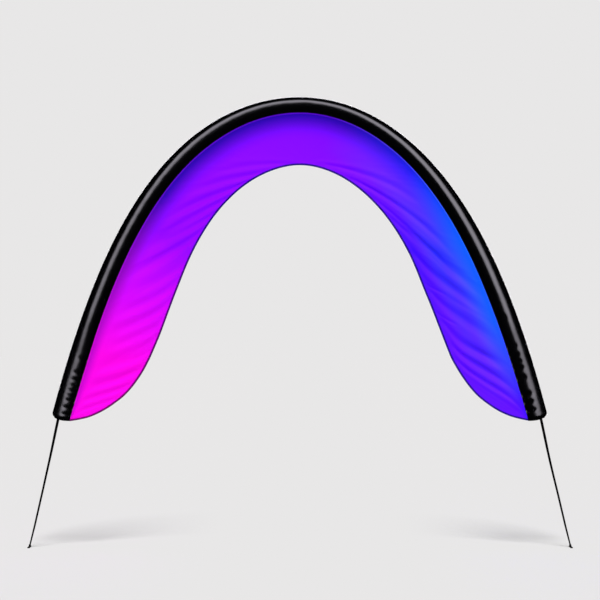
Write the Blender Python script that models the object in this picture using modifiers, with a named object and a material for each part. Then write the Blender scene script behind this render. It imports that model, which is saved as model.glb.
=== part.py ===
"""Banner arch and the pole that it hangs from.

A tapered pole is bent into an arch and stands on two small feet. A black sleeve, closed at both
ends, rides on the pole, and a printed cloth crescent is sewn along the inside of the sleeve.

Metres, +Z up, +X along the arch, +Y to its back. The origin is on the floor, midway between the
feet.

A point of the cloth has a station and a reach. The station is the distance along the sleeve's
outer edge from the crown, negative on the left. The reach is the distance from that edge towards
the inside of the arch.
"""

from collections import namedtuple
from math import cos, exp, pi, radians, sin, sqrt

import bpy
import numpy as np
from mathutils import Vector

# The arch line: the sleeve's outer edge, level at its crown and steeper towards each end
CROWN_X = -0.003
CROWN_HEIGHT = 2.499
Bend = namedtuple("Bend", "steepest_deg length sharpness")
LEFT_BEND = Bend(81.7, 1.252, 2.33)
RIGHT_BEND = Bend(86.2, 1.232, 1.88)
LINE = np.arange(0, 3.3, 0.002)

# The sleeve: its width in the plane of the arch, and its round part, which tapers into a flat web
Sleeve = namedtuple("Sleeve", "station width tube_width tube_depth")
SLEEVE = (
    Sleeve(-2.41, 0.101, 0.078, 0.044),
    Sleeve(-1.80, 0.098, 0.075, 0.048),
    Sleeve(-1.20, 0.095, 0.068, 0.046),
    Sleeve(-0.60, 0.089, 0.058, 0.042),
    Sleeve(0.00, 0.080, 0.048, 0.038),
    Sleeve(0.60, 0.090, 0.060, 0.042),
    Sleeve(1.20, 0.099, 0.072, 0.046),
    Sleeve(1.80, 0.108, 0.080, 0.048),
    Sleeve(2.41, 0.103, 0.084, 0.044),
)
SLEEVE_START = -2.411
SLEEVE_STOP = 2.404
SLEEVE_CLOTH = 0.0012
SEAM_FLAT = 0.014
CHORD_SAG = 0.0007
GATHER_TO_LEG = 0.05
FINE_STEPS = 400
ROUND_STEPS = 4
FALL_STEPS = 4

# Its closed ends: rounded over CLOSING, then sewn flat on both sides of the pole over CUFF
CLOSING = 0.034
CUFF = 0.006
CLOSING_STEPS = 4
END_CORNER = 0.022
END_BOW = 0.012
BOW_LENGTH = 0.07

# Stations where the sleeve is gathered. Its faces are drawn in there, from GATHER_FROM of the way
# round to the web.
LEFT_GATHERS = (-2.357, -2.314, -2.279, -2.245, -2.215, -2.180, -2.139, -2.057)
RIGHT_GATHERS = (1.979, 2.029, 2.066, 2.105, 2.164, 2.257, 2.303, 2.349)
GATHER_DEPTH = 0.0035
GATHER_SPREAD = 0.012
GATHER_FROM = 0.5

# The printed cloth: how far its hem edge is from the arch line
Cloth = namedtuple("Cloth", "station reach")
CLOTH = (
    Cloth(-2.411, 0.104),
    Cloth(-2.39, 0.150),
    Cloth(-2.36, 0.203),
    Cloth(-2.31, 0.262),
    Cloth(-2.25, 0.314),
    Cloth(-2.18, 0.361),
    Cloth(-2.10, 0.395),
    Cloth(-2.00, 0.421),
    Cloth(-1.90, 0.434),
    Cloth(-1.75, 0.441),
    Cloth(-1.50, 0.434),
    Cloth(-1.20, 0.414),
    Cloth(-0.90, 0.399),
    Cloth(-0.60, 0.390),
    Cloth(-0.30, 0.383),
    Cloth(0.00, 0.376),
    Cloth(0.30, 0.379),
    Cloth(0.60, 0.382),
    Cloth(0.90, 0.387),
    Cloth(1.20, 0.400),
    Cloth(1.50, 0.422),
    Cloth(1.75, 0.427),
    Cloth(1.90, 0.424),
    Cloth(2.00, 0.409),
    Cloth(2.10, 0.382),
    Cloth(2.18, 0.349),
    Cloth(2.25, 0.303),
    Cloth(2.31, 0.251),
    Cloth(2.355, 0.196),
    Cloth(2.385, 0.145),
    Cloth(2.404, 0.106),
)
PANEL_CLOTH = 0.0015
PANEL_TUCK = 0.009
PANEL_FLAT = 0.006
SEAM_GAP = 0.0003
HEM_WIDTH = 0.008
HEM_CLOTH = 0.0025
PANEL_ROWS = 8
PANEL_STEP = 0.034
PANEL_CROWN_STEP = 0.060
CROWN_LENGTH = 0.45

# Its shape out of the arch's plane: a soft belly forwards, flat along the seam and at both tails
BELLY = 0.012
BELLY_SKEW = 0.8
TAIL_LENGTH = 0.25
SEAM_SHARE = 0.12

# Drag folds, each from near the hem, sweeping down the leg towards the sleeve. A share is 0 at the
# sleeve's seam and 1 at the hem. A fold bends by FOLD_DROOP, rises over FOLD_RISE of its run at the
# hem, and fades out over the last FOLD_FADE.
Fold = namedtuple("Fold", "from_station from_share to_station to_share depth width")
FOLDS = (
    Fold(-0.10, 0.95, -0.55, 0.62, 0.004, 0.050),
    Fold(-0.38, 0.95, -0.74, 0.58, 0.006, 0.045),
    Fold(-0.54, 0.97, -0.98, 0.50, 0.007, 0.045),
    Fold(-0.73, 0.96, -1.15, 0.46, 0.008, 0.042),
    Fold(-0.87, 0.98, -1.28, 0.36, 0.007, 0.040),
    Fold(-1.02, 0.97, -1.50, 0.18, 0.008, 0.042),
    Fold(-1.25, 0.98, -1.50, 0.60, 0.006, 0.034),
    Fold(-1.42, 0.96, -1.74, 0.24, 0.008, 0.036),
    Fold(-1.56, 0.95, -1.87, 0.20, 0.008, 0.034),
    Fold(-1.69, 0.95, -1.94, 0.26, 0.007, 0.030),
    Fold(-1.80, 0.96, -2.04, 0.28, 0.007, 0.028),
    Fold(-1.89, 0.92, -2.09, 0.18, 0.008, 0.027),
    Fold(-1.99, 0.97, -2.20, 0.22, 0.008, 0.026),
    Fold(-2.12, 0.90, -2.28, 0.20, 0.006, 0.022),
    Fold(-2.22, 0.90, -2.34, 0.30, 0.004, 0.020),
    Fold(0.30, 0.88, 0.74, 0.55, 0.006, 0.050),
    Fold(0.52, 0.92, 1.14, 0.46, 0.009, 0.046),
    Fold(0.74, 0.95, 1.20, 0.66, 0.007, 0.040),
    Fold(0.95, 0.92, 1.62, 0.06, 0.010, 0.046),
    Fold(1.24, 0.90, 1.70, 0.20, 0.010, 0.040),
    Fold(1.40, 0.92, 1.62, 0.56, 0.005, 0.028),
    Fold(1.48, 0.91, 1.92, 0.10, 0.010, 0.038),
    Fold(1.70, 0.90, 2.02, 0.32, 0.008, 0.030),
    Fold(1.80, 0.85, 2.06, 0.12, 0.008, 0.028),
    Fold(1.86, 0.88, 2.20, 0.12, 0.010, 0.030),
    Fold(1.95, 0.92, 2.27, 0.26, 0.007, 0.024),
)
FOLD_DROOP = 1.35
FOLD_RISE = 0.22
FOLD_FADE = 0.6

# The pole: how far its axis is from the arch line, and its diameter
Pole = namedtuple("Pole", "station reach diameter")
POLE = (
    Pole(-3.12, 0.0490, 0.0080),
    Pole(-2.87, 0.0496, 0.0088),
    Pole(-2.66, 0.0470, 0.0102),
    Pole(-2.42, 0.0375, 0.0125),
    Pole(-2.10, 0.0200, 0.0125),
    Pole(-1.80, 0.0105, 0.0125),
    Pole(-1.50, 0.0078, 0.0125),
    Pole(1.50, 0.0078, 0.0125),
    Pole(1.80, 0.0105, 0.0125),
    Pole(2.10, 0.0210, 0.0125),
    Pole(2.42, 0.0390, 0.0125),
    Pole(2.66, 0.0455, 0.0102),
    Pole(2.87, 0.0414, 0.0088),
    Pole(3.12, 0.0340, 0.0080),
)
TIP_DIAMETER = 0.008
POLE_STEP = 0.07
POLE_LAST = 3.02

# The feet: a low bar across the arch's plane, with a socket that takes the pole's tip. Past
# POLE_LAST the pole runs straight to its foot.
FOOT_X = 1.504
FOOT_WIDTH = 0.012
FOOT_LENGTH = 0.090
FOOT_BASE = 0.005
FOOT_HEIGHT = 0.016
SOCKET_FLOOR = 0.0035
FOOT_FIT = 0.0003
FOOT_SIDES = 20

SLEEVE_COLOUR = (0.004, 0.004, 0.005, 1)
PANEL_COLOUR = (0.22, 0.01, 0.90, 1)
POLE_COLOUR = (0.012, 0.012, 0.013, 1)
FOOT_COLOUR = (0.010, 0.010, 0.010, 1)


def clear_scene():
    for thing in list(bpy.data.objects):
        bpy.data.objects.remove(thing, do_unlink=True)


def new_collection(name):
    group = bpy.data.collections.new(name)
    bpy.context.scene.collection.children.link(group)
    return group


def plain_material(name, colour, roughness):
    material = bpy.data.materials.new(name)
    material.use_nodes = True
    shader = material.node_tree.nodes["Principled BSDF"]
    shader.inputs["Base Color"].default_value = colour
    shader.inputs["Roughness"].default_value = roughness
    shader.inputs["Metallic"].default_value = 0
    return material


def slope(station):
    """How far below level the arch line runs at a station, in radians."""
    bend = LEFT_BEND if station < 0 else RIGHT_BEND
    share = abs(station) / bend.length
    return radians(bend.steepest_deg) * share / (1 + share**bend.sharpness) ** (1 / bend.sharpness)


def arch_line(side):
    """The x and z of the arch line at each value of LINE, on the side -1 or 1."""
    x, z = [CROWN_X], [CROWN_HEIGHT]
    for start, stop in zip(LINE, LINE[1:]):
        angle = slope(side * (start + stop) / 2)
        x.append(x[-1] + side * cos(angle) * (stop - start))
        z.append(z[-1] - sin(angle) * (stop - start))
    return x, z


ARCH = {-1: arch_line(-1), 1: arch_line(1)}


def place(station, reach, y=0.0):
    """The point at a station and a reach, y behind the plane of the arch."""
    side = -1 if station < 0 else 1
    x, z = (np.interp(abs(station), LINE, values) for values in ARCH[side])
    angle = slope(station)
    return Vector((x - side * sin(angle) * reach, y, z - cos(angle) * reach))


def between(table, column, station):
    """A table's column at a station: a smooth line through its rows that never overshoots."""
    at = np.array([row.station for row in table])
    value = np.array([getattr(row, column) for row in table])
    gap = np.diff(at)
    rise = np.diff(value) / gap
    slopes = np.zeros(len(at))
    slopes[0], slopes[-1] = rise[0], rise[-1]
    for i in range(1, len(at) - 1):
        if rise[i - 1] * rise[i] > 0:
            slopes[i] = 2 * rise[i - 1] * rise[i] / (rise[i - 1] + rise[i])
    i = int(np.clip(np.searchsorted(at, station) - 1, 0, len(gap) - 1))
    t = (station - at[i]) / gap[i]
    start = value[i] * (1 + 2 * t) * (1 - t) ** 2 + slopes[i] * gap[i] * t * (1 - t) ** 2
    stop = value[i + 1] * (3 - 2 * t) * t**2 + slopes[i + 1] * gap[i] * (t - 1) * t**2
    return float(start + stop)


def smooth_step(share):
    share = min(max(share, 0.0), 1.0)
    return share * share * (3 - 2 * share)


def grid_object(name, columns, rows, point):
    """A sheet of columns by rows quads, whose corner (i, j) is point(i, j)."""
    bpy.ops.mesh.primitive_grid_add(x_subdivisions=columns, y_subdivisions=rows, size=2)
    sheet = bpy.context.object
    sheet.name = sheet.data.name = name
    for vertex in sheet.data.vertices:
        i = round((vertex.co.x + 1) / 2 * columns)
        j = round((vertex.co.y + 1) / 2 * rows)
        vertex.co = point(i, j)
    sheet.data.shade_smooth()
    return sheet


def thicken(sheet, thickness, offset):
    wall = sheet.modifiers.new("cloth thickness", "SOLIDIFY")
    wall.thickness = thickness
    wall.offset = offset
    wall.use_even_offset = True
    wall.use_quality_normals = True
    return wall


def finish(thing, material, group):
    thing.data.materials.clear()
    thing.data.materials.append(material)
    for owner in list(thing.users_collection):
        owner.objects.unlink(thing)
    group.objects.link(thing)


def closing_at(station):
    """0 where the sleeve's end is sewn shut round the pole, 1 where it is fully open."""
    left = min(station - SLEEVE_START, SLEEVE_STOP - station)
    share = min(max((left - CUFF) / CLOSING, 0.0), 1.0)
    return sqrt(1 - (1 - share) ** 2)


def gather_at(station):
    """1 at the middle of a gather, and 0 between two."""
    nearest = min(abs(station - at) for at in LEFT_GATHERS + RIGHT_GATHERS)
    return smooth_step(1 - nearest / GATHER_SPREAD)


def even_stations(start, stop):
    """Stations from leg to leg, so close that a chord between two is CHORD_SAG off the arch line."""
    fine = np.linspace(start, stop, FINE_STEPS)
    bend = np.gradient([slope(station) * np.sign(station) for station in fine], fine)
    chords = np.cumsum(np.sqrt(bend / (8 * CHORD_SAG))) * (fine[1] - fine[0])
    return list(np.interp(np.linspace(chords[0], chords[-1], round(chords[-1]) + 1), chords, fine))


def end_stations(side):
    """Stations through one closed end, from the cuff inwards."""
    end = SLEEVE_START if side < 0 else SLEEVE_STOP
    shares = [1 - cos(pi / 2 * step / CLOSING_STEPS) for step in range(CLOSING_STEPS + 1)]
    return [end] + [end - side * (CUFF + CLOSING * share) for share in shares]


def gathered_stations(gathers):
    """Each gather's station and the one halfway to the next."""
    middles = [(a + b) / 2 for a, b in zip(gathers, gathers[1:])]
    return sorted([*gathers, *middles])


def sleeve_stations():
    left = end_stations(-1) + gathered_stations(LEFT_GATHERS)
    right = gathered_stations(RIGHT_GATHERS) + end_stations(1)[::-1]
    legs = LEFT_GATHERS[-1] + GATHER_TO_LEG, RIGHT_GATHERS[0] - GATHER_TO_LEG
    return left + even_stations(*legs) + right


def sleeve_section(station):
    """The front half of the sleeve's outside: (reach, depth), from its outer edge to its seam."""
    opened = closing_at(station)
    width = between(SLEEVE, "width", station)
    pole_reach = between(POLE, "reach", station)
    web = PANEL_CLOTH / 2 + SEAM_GAP + SLEEVE_CLOTH
    snug = between(POLE, "diameter", station) / 2 + SEAM_GAP + SLEEVE_CLOTH
    edge = END_CORNER * (1 - opened)
    middle = pole_reach + (between(SLEEVE, "tube_width", station) / 2 - pole_reach) * opened
    deepest = snug + (between(SLEEVE, "tube_depth", station) / 2 - snug) * opened
    half = middle - edge
    fall = width - SEAM_FLAT - middle
    section = []
    for step in range(ROUND_STEPS + 1):
        angle = pi / 2 * step / ROUND_STEPS
        section.append((middle - half * cos(angle), deepest * sin(angle)))
    for step in range(1, FALL_STEPS + 1):
        share = step / FALL_STEPS
        section.append((middle + fall * share, web + (deepest - web) * (1 + cos(pi * share)) / 2))
    section.append((width, web))
    drawn_in = GATHER_DEPTH * gather_at(station)
    return [
        (reach, max(min(web, depth), depth - drawn_in * smooth_step(reach / middle - GATHER_FROM)))
        for reach, depth in section
    ]


def bowed(station, reach):
    """The station moved out where the closed end bows below a square cut."""
    side = -1 if station < 0 else 1
    end = SLEEVE_START if side < 0 else SLEEVE_STOP
    near = smooth_step(1 - abs(end - station) / BOW_LENGTH)
    width = between(SLEEVE, "width", end)
    return station + side * END_BOW * near * sin(pi * min(max(reach / width, 0.0), 1.0))


def make_sleeve(group):
    """One strip folded over the pole, from its front seam edge round to its back seam edge."""
    stations = sleeve_stations()
    front = [sleeve_section(station) for station in stations]
    last = len(front[0]) - 1

    def point(i, j):
        k = abs(j - last)
        reach, depth = front[i][k]
        side = -1 if j < last else 1
        return place(bowed(stations[i], reach), reach, side * depth)

    sleeve = grid_object("sleeve", len(stations) - 1, 2 * last, point)
    thicken(sleeve, SLEEVE_CLOTH, -1)
    finish(sleeve, plain_material("black sleeve cloth", SLEEVE_COLOUR, 0.4), group)


def fold_push(fold, station, share):
    """How far one fold pushes the cloth back at a station and share: a trough between two crests."""
    run = (fold.from_share - share) / (fold.from_share - fold.to_share)
    line = fold.from_station + (fold.to_station - fold.from_station) * max(run, 0) ** (1 / FOLD_DROOP)
    off = (station - line) / fold.width
    strength = smooth_step(1 + run / FOLD_RISE) * smooth_step((1 - run) / FOLD_FADE)
    return fold.depth * strength * (1 - off * off) * exp(-off * off / 2)


def panel_y(station, share):
    """How far behind the arch's plane the printed cloth lies at a station and share."""
    to_tail = min(station - SLEEVE_START, SLEEVE_STOP - station)
    belly = BELLY * sin(pi * min(share, 1.0) ** BELLY_SKEW) * smooth_step(to_tail / TAIL_LENGTH)
    folds = sum(fold_push(fold, station, share) for fold in FOLDS)
    return (folds - belly) * smooth_step(share / SEAM_SHARE)


def panel_stations():
    """Close together on the legs, where the folds are, and further apart at the crown."""
    stations = [SLEEVE_START]
    while stations[-1] < SLEEVE_STOP - PANEL_STEP:
        at_crown = smooth_step(1 - abs(stations[-1]) / CROWN_LENGTH)
        stations.append(stations[-1] + PANEL_STEP + (PANEL_CROWN_STEP - PANEL_STEP) * at_crown)
    return stations + [SLEEVE_STOP]


def panel_reaches(station):
    """The rows of the printed cloth across one station: tucked edge, free cloth, hem."""
    seam = between(SLEEVE, "width", station)
    edge = between(CLOTH, "reach", station)
    flat = min(PANEL_FLAT, (edge - seam) / 4)
    hem = min(HEM_WIDTH, (edge - seam) / 2)
    return [seam - PANEL_TUCK, *np.linspace(seam + flat, edge - hem, PANEL_ROWS + 1), edge]


def make_panel(group):
    """The printed cloth, from its edge inside the sleeve's seam to its hem, which is thicker."""
    stations = panel_stations()
    reaches = [panel_reaches(station) for station in stations]
    hem_row = PANEL_ROWS + 1

    def point(i, j):
        start, edge = reaches[i][1], reaches[i][-1]
        share = max(reaches[i][j] - start, 0) / (edge - start)
        return place(stations[i], reaches[i][j], panel_y(stations[i], share))

    panel = grid_object("panel", len(stations) - 1, hem_row + 1, point)
    hem = panel.vertex_groups.new(name="hem")
    for vertex in panel.data.vertices:
        row = vertex.index // len(stations)
        hem.add([vertex.index], float(row >= hem_row), "REPLACE")
    wall = thicken(panel, HEM_CLOTH, 0)
    wall.vertex_group = hem.name
    wall.thickness_vertex_group = PANEL_CLOTH / HEM_CLOTH
    finish(panel, plain_material("printed cloth", PANEL_COLOUR, 0.6), group)


def pole_point(station):
    return place(station, between(POLE, "reach", station))


def pole_foot(side):
    """Where the pole's axis meets the floor on one side, and the direction up the pole there."""
    foot = Vector((side * FOOT_X, 0, 0))
    return foot, (pole_point(side * POLE_LAST) - foot).normalized()


def up_the_pole(side, height):
    """The point of the pole's axis at a height above the floor, inside a foot."""
    foot, up = pole_foot(side)
    return foot + up * (height / up.z)


def pole_stations():
    """The sleeve's stations where the pole runs inside it, and even steps along its bare ends."""
    count = round((POLE_LAST - SLEEVE_STOP) / POLE_STEP)
    left = np.linspace(-POLE_LAST, SLEEVE_START, count, endpoint=False)
    right = np.linspace(POLE_LAST, SLEEVE_STOP, count, endpoint=False)[::-1]
    return [*left, *sleeve_stations(), *right]


def make_pole(group):
    """One tapered rod, which ends inside the socket of a foot at both tips."""
    stations = pole_stations()
    left_tip, right_tip = (up_the_pole(side, SOCKET_FLOOR + FOOT_FIT) for side in (-1, 1))
    points = [left_tip, *(pole_point(station) for station in stations), right_tip]
    widths = [between(POLE, "diameter", station) for station in stations]
    widths = [TIP_DIAMETER, *widths, TIP_DIAMETER]
    curve = bpy.data.curves.new("pole", "CURVE")
    curve.dimensions = "3D"
    curve.bevel_depth = 1.0
    curve.bevel_resolution = 2
    curve.use_fill_caps = True
    spline = curve.splines.new("POLY")
    spline.points.add(len(points) - 1)
    for spot, point, width in zip(spline.points, points, widths):
        spot.co = (*point, 1)
        spot.radius = width / 2
    pole = bpy.data.objects.new("pole", curve)
    bpy.context.scene.collection.objects.link(pole)
    finish(pole, plain_material("dark glass fibre rod", POLE_COLOUR, 0.35), group)


def rod_along(name, side, radius, bottom, top):
    """A cylinder on the pole's axis between two heights above the floor."""
    start, stop = up_the_pole(side, bottom), up_the_pole(side, top)
    bpy.ops.mesh.primitive_cylinder_add(
        vertices=FOOT_SIDES, radius=radius, depth=(stop - start).length, location=(start + stop) / 2
    )
    rod = bpy.context.object
    rod.name = name
    rod.rotation_mode = "QUATERNION"
    rod.rotation_quaternion = (stop - start).to_track_quat("Z", "Y")
    return rod


def combine(thing, other, how, cutters):
    joined = thing.modifiers.new(how.lower(), "BOOLEAN")
    joined.operation = how
    joined.object = other
    other.hide_render = True
    other.display_type = "WIRE"
    for owner in list(other.users_collection):
        owner.objects.unlink(other)
    cutters.objects.link(other)


def make_foot(name, side, material, group, cutters):
    bpy.ops.mesh.primitive_cube_add(size=1, location=(side * FOOT_X, 0, FOOT_BASE / 2))
    foot = bpy.context.object
    foot.name = foot.data.name = name
    foot.scale = (FOOT_WIDTH, FOOT_LENGTH, FOOT_BASE)
    bpy.ops.object.transform_apply(location=False, rotation=False, scale=True)
    boss = rod_along(name + "_boss", side, FOOT_WIDTH / 2, SOCKET_FLOOR / 2, FOOT_HEIGHT)
    combine(foot, boss, "UNION", cutters)
    bore = TIP_DIAMETER / 2 + FOOT_FIT
    socket = rod_along(name + "_socket", side, bore, SOCKET_FLOOR, 2 * FOOT_HEIGHT)
    combine(foot, socket, "DIFFERENCE", cutters)
    finish(foot, material, group)


def main():
    clear_scene()
    parts = new_collection("banner_arch_and_pole")
    cutters = new_collection("cutters")
    make_panel(parts)
    make_sleeve(parts)
    make_pole(parts)
    rubber = plain_material("black rubber", FOOT_COLOUR, 0.7)
    make_foot("foot_left", -1, rubber, parts, cutters)
    make_foot("foot_right", 1, rubber, parts, cutters)


main()
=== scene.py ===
"""The looks of the banner arch: printed cloth, sewn sleeve, glass fibre rod and rubber feet.

Metres, +Z up, +X along the arch, +Y to its back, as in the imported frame.

A point of the cloth has a station and a reach. The station is the distance along the sleeve's outer
edge from the crown, negative on the left. The reach is the distance from that edge towards the
inside of the arch. On the printed cloth a share is 0 at the seam and 1 at the hem.
"""

from collections import namedtuple
from math import cos, pi, radians, sin

import bmesh
import bpy
import numpy as np
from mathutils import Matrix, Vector


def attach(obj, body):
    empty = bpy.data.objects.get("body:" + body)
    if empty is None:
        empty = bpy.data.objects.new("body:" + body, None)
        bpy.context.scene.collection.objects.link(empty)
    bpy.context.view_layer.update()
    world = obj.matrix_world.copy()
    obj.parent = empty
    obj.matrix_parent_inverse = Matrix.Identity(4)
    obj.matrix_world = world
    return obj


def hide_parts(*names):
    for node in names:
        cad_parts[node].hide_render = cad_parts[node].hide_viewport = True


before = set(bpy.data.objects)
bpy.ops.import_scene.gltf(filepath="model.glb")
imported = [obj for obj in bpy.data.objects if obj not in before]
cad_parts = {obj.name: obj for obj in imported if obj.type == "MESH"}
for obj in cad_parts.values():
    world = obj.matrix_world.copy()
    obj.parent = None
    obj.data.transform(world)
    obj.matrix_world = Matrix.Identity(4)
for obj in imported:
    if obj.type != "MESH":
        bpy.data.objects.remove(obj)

MM = 0.001

# The arch line: the sleeve's outer edge, level at its crown and steeper towards each end
CROWN_X = -0.003
CROWN_HEIGHT = 2.499
Bend = namedtuple("Bend", "steepest_deg length sharpness")
LEFT_BEND = Bend(81.7, 1.252, 2.33)
RIGHT_BEND = Bend(86.2, 1.232, 1.88)
LINE_LENGTH = 3.3
LINE_STEP = 1 * MM

# The sleeve: the reach of its seam, the width and depth of its round part, and how sharply it falls
# from there to the seam. Its outer side is SLEEVE_EDGE outside the arch line.
Sleeve = namedtuple("Sleeve", "station width tube_width tube_depth fall")
SLEEVE = (
    Sleeve(-2.41, 0.101, 0.084, 0.034, 2.0),
    Sleeve(-2.10, 0.105, 0.082, 0.038, 2.0),
    Sleeve(-1.80, 0.103, 0.073, 0.050, 2.0),
    Sleeve(-1.20, 0.100, 0.070, 0.049, 1.9),
    Sleeve(-0.60, 0.094, 0.055, 0.044, 1.8),
    Sleeve(0.00, 0.084, 0.045, 0.038, 1.6),
    Sleeve(0.60, 0.094, 0.068, 0.046, 1.8),
    Sleeve(1.20, 0.105, 0.090, 0.052, 1.9),
    Sleeve(1.80, 0.113, 0.094, 0.053, 2.0),
    Sleeve(2.10, 0.113, 0.098, 0.042, 2.0),
    Sleeve(2.41, 0.109, 0.100, 0.036, 2.0),
)
SLEEVE_EDGE = -2.5 * MM
SLEEVE_START = -2.411
SLEEVE_STOP = 2.404
SLEEVE_CLOTH = 0.7 * MM

# Over SEAM_FLAT beside its seam both its sides lie on the printed cloth, rising by SEAM_RISE
SEAM_FLAT = 6 * MM
SEAM_RISE = 2.5 * MM
SEAM_GAP = 0.5 * MM

# Its mesh is finer over END_LENGTH at both ends
SLEEVE_STEP = 9 * MM
END_STEP = 2.5 * MM
END_LENGTH = 0.09
ROUND_STEPS = 12
FALL_STEPS = 10
WEB_STEPS = 3

# Its closed ends, rounded over CLOSING and sewn flat on both sides of the pole over CUFF. Each is
# cut back by END_CORNER at its outer corner, and its middle bows out by END_BOW.
CLOSING = 20 * MM
CUFF = 4 * MM
END_CORNER = 15 * MM
END_BOW = 8 * MM
BOW_LENGTH = 70 * MM

# Gathers near the sleeve's ends, where its cloth is drawn in between the pole and the seam. Their
# depths and lengths are in millimetres. They begin at GATHER_FROM of the way to the round part's
# middle and are full after GATHER_GROWTH of the sleeve's width.
GATHER_FROM = 0.85
GATHER_GROWTH = 0.35
Gather = namedtuple("Gather", "station depth length")
GATHERS = (
    Gather(-2.376, 1.5, 8),
    Gather(-2.342, 2.0, 9),
    Gather(-2.299, 2.5, 10),
    Gather(-2.273, 2.0, 8),
    Gather(-2.244, 2.0, 9),
    Gather(-2.215, 1.5, 8),
    Gather(-2.180, 2.0, 10),
    Gather(-2.139, 2.0, 11),
    Gather(-2.057, 1.5, 14),
    Gather(1.810, 2.0, 16),
    Gather(1.979, 3.5, 14),
    Gather(2.029, 4.5, 11),
    Gather(2.070, 4.5, 10),
    Gather(2.105, 5.0, 10),
    Gather(2.164, 5.0, 12),
    Gather(2.257, 5.5, 12),
    Gather(2.303, 5.0, 10),
    Gather(2.349, 4.5, 9),
)

# The printed cloth: how far its hem edge is from the arch line
Cloth = namedtuple("Cloth", "station reach")
CLOTH = (
    Cloth(-2.411, 0.104),
    Cloth(-2.39, 0.150),
    Cloth(-2.36, 0.203),
    Cloth(-2.31, 0.262),
    Cloth(-2.25, 0.314),
    Cloth(-2.18, 0.361),
    Cloth(-2.10, 0.395),
    Cloth(-2.00, 0.421),
    Cloth(-1.90, 0.434),
    Cloth(-1.75, 0.441),
    Cloth(-1.50, 0.434),
    Cloth(-1.20, 0.414),
    Cloth(-0.90, 0.399),
    Cloth(-0.60, 0.390),
    Cloth(-0.30, 0.383),
    Cloth(0.00, 0.376),
    Cloth(0.30, 0.379),
    Cloth(0.60, 0.382),
    Cloth(0.90, 0.387),
    Cloth(1.20, 0.400),
    Cloth(1.50, 0.422),
    Cloth(1.75, 0.427),
    Cloth(1.90, 0.424),
    Cloth(2.00, 0.409),
    Cloth(2.10, 0.382),
    Cloth(2.18, 0.349),
    Cloth(2.25, 0.303),
    Cloth(2.31, 0.251),
    Cloth(2.355, 0.196),
    Cloth(2.385, 0.145),
    Cloth(2.404, 0.106),
)
PANEL_CLOTH = 0.8 * MM
PANEL_TUCK = 9 * MM
PANEL_STEP = 8 * MM
PANEL_END_STEP = 3 * MM
PANEL_ROWS = 44

# From the middle of the printed cloth to the outside of the sleeve that lies on it at the seam
WEB_DEPTH = PANEL_CLOTH / 2 + SEAM_GAP + SLEEVE_CLOTH

# The strip beside its seam, thicker by STRIP_LAYERS of the cloth, and its rolled hem. At the
# cloth's tails they take no more than the shares STRIP_MOST and HEM_MOST of its width.
SEAM_STRIP = 9 * MM
STRIP_ROWS = 4
STRIP_LAYERS = 0.8
STRIP_MOST = 0.25
HEM_WIDTH = 8 * MM
HEM_ROWS = 4
HEM_CLOTH = 2.2 * MM
HEM_MOST = 0.5

# Its shape out of the arch's plane: a soft belly to the back that dies out over TAIL_LENGTH at the
# tails, and flat along the seam over SEAM_SHARE
BELLY = 5 * MM
BELLY_SKEW = 0.8
TAIL_LENGTH = 0.25
SEAM_SHARE = 0.08

# Drag folds, each from near the hem, sweeping down the leg towards the sleeve. Their depths and
# widths are in millimetres. Each droops by the power FOLD_DROOP, comes up over the share FOLD_RISE
# of its run and dies out over the share FOLD_FADE.
Fold = namedtuple("Fold", "from_station from_share to_station to_share depth width")
FOLDS = (
    Fold(-0.10, 0.95, -0.81, 0.31, 2.0, 63),
    Fold(-0.38, 0.95, -0.92, 0.29, 3.5, 57),
    Fold(-0.54, 0.97, -1.13, 0.25, 5.0, 57),
    Fold(-0.73, 0.96, -1.28, 0.23, 5.5, 53),
    Fold(-0.87, 0.98, -1.36, 0.18, 5.0, 51),
    Fold(-1.02, 0.97, -1.54, 0.09, 5.5, 53),
    Fold(-1.25, 0.98, -1.62, 0.30, 2.5, 43),
    Fold(-1.42, 0.96, -1.78, 0.12, 3.5, 45),
    Fold(-1.56, 0.95, -1.90, 0.10, 3.5, 43),
    Fold(-1.69, 0.95, -1.97, 0.13, 2.5, 37),
    Fold(-1.80, 0.96, -2.07, 0.14, 2.5, 35),
    Fold(-1.89, 0.92, -2.11, 0.09, 3.0, 34),
    Fold(-1.99, 0.97, -2.22, 0.11, 3.0, 33),
    Fold(-2.12, 0.90, -2.30, 0.10, 2.5, 28),
    Fold(-2.22, 0.90, -2.36, 0.15, 1.5, 25),
    Fold(0.30, 0.88, 0.97, 0.28, 4.0, 63),
    Fold(0.52, 0.92, 1.34, 0.23, 6.0, 58),
    Fold(0.74, 0.95, 1.52, 0.33, 4.5, 51),
    Fold(0.95, 0.92, 1.63, 0.04, 6.5, 58),
    Fold(1.24, 0.90, 1.74, 0.10, 6.5, 51),
    Fold(1.40, 0.92, 1.73, 0.28, 3.0, 35),
    Fold(1.40, 0.98, 1.57, 0.62, 2.0, 12),
    Fold(1.48, 0.91, 1.94, 0.05, 6.5, 48),
    Fold(1.60, 0.98, 1.77, 0.62, 2.0, 12),
    Fold(1.70, 0.90, 2.08, 0.16, 5.0, 37),
    Fold(1.80, 0.85, 2.07, 0.06, 5.0, 35),
    Fold(1.86, 0.88, 2.22, 0.06, 6.5, 37),
    Fold(1.95, 0.92, 2.31, 0.13, 4.5, 31),
)
FOLD_DROOP = 1.45
FOLD_RISE = 0.3
FOLD_FADE = 0.4

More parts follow.
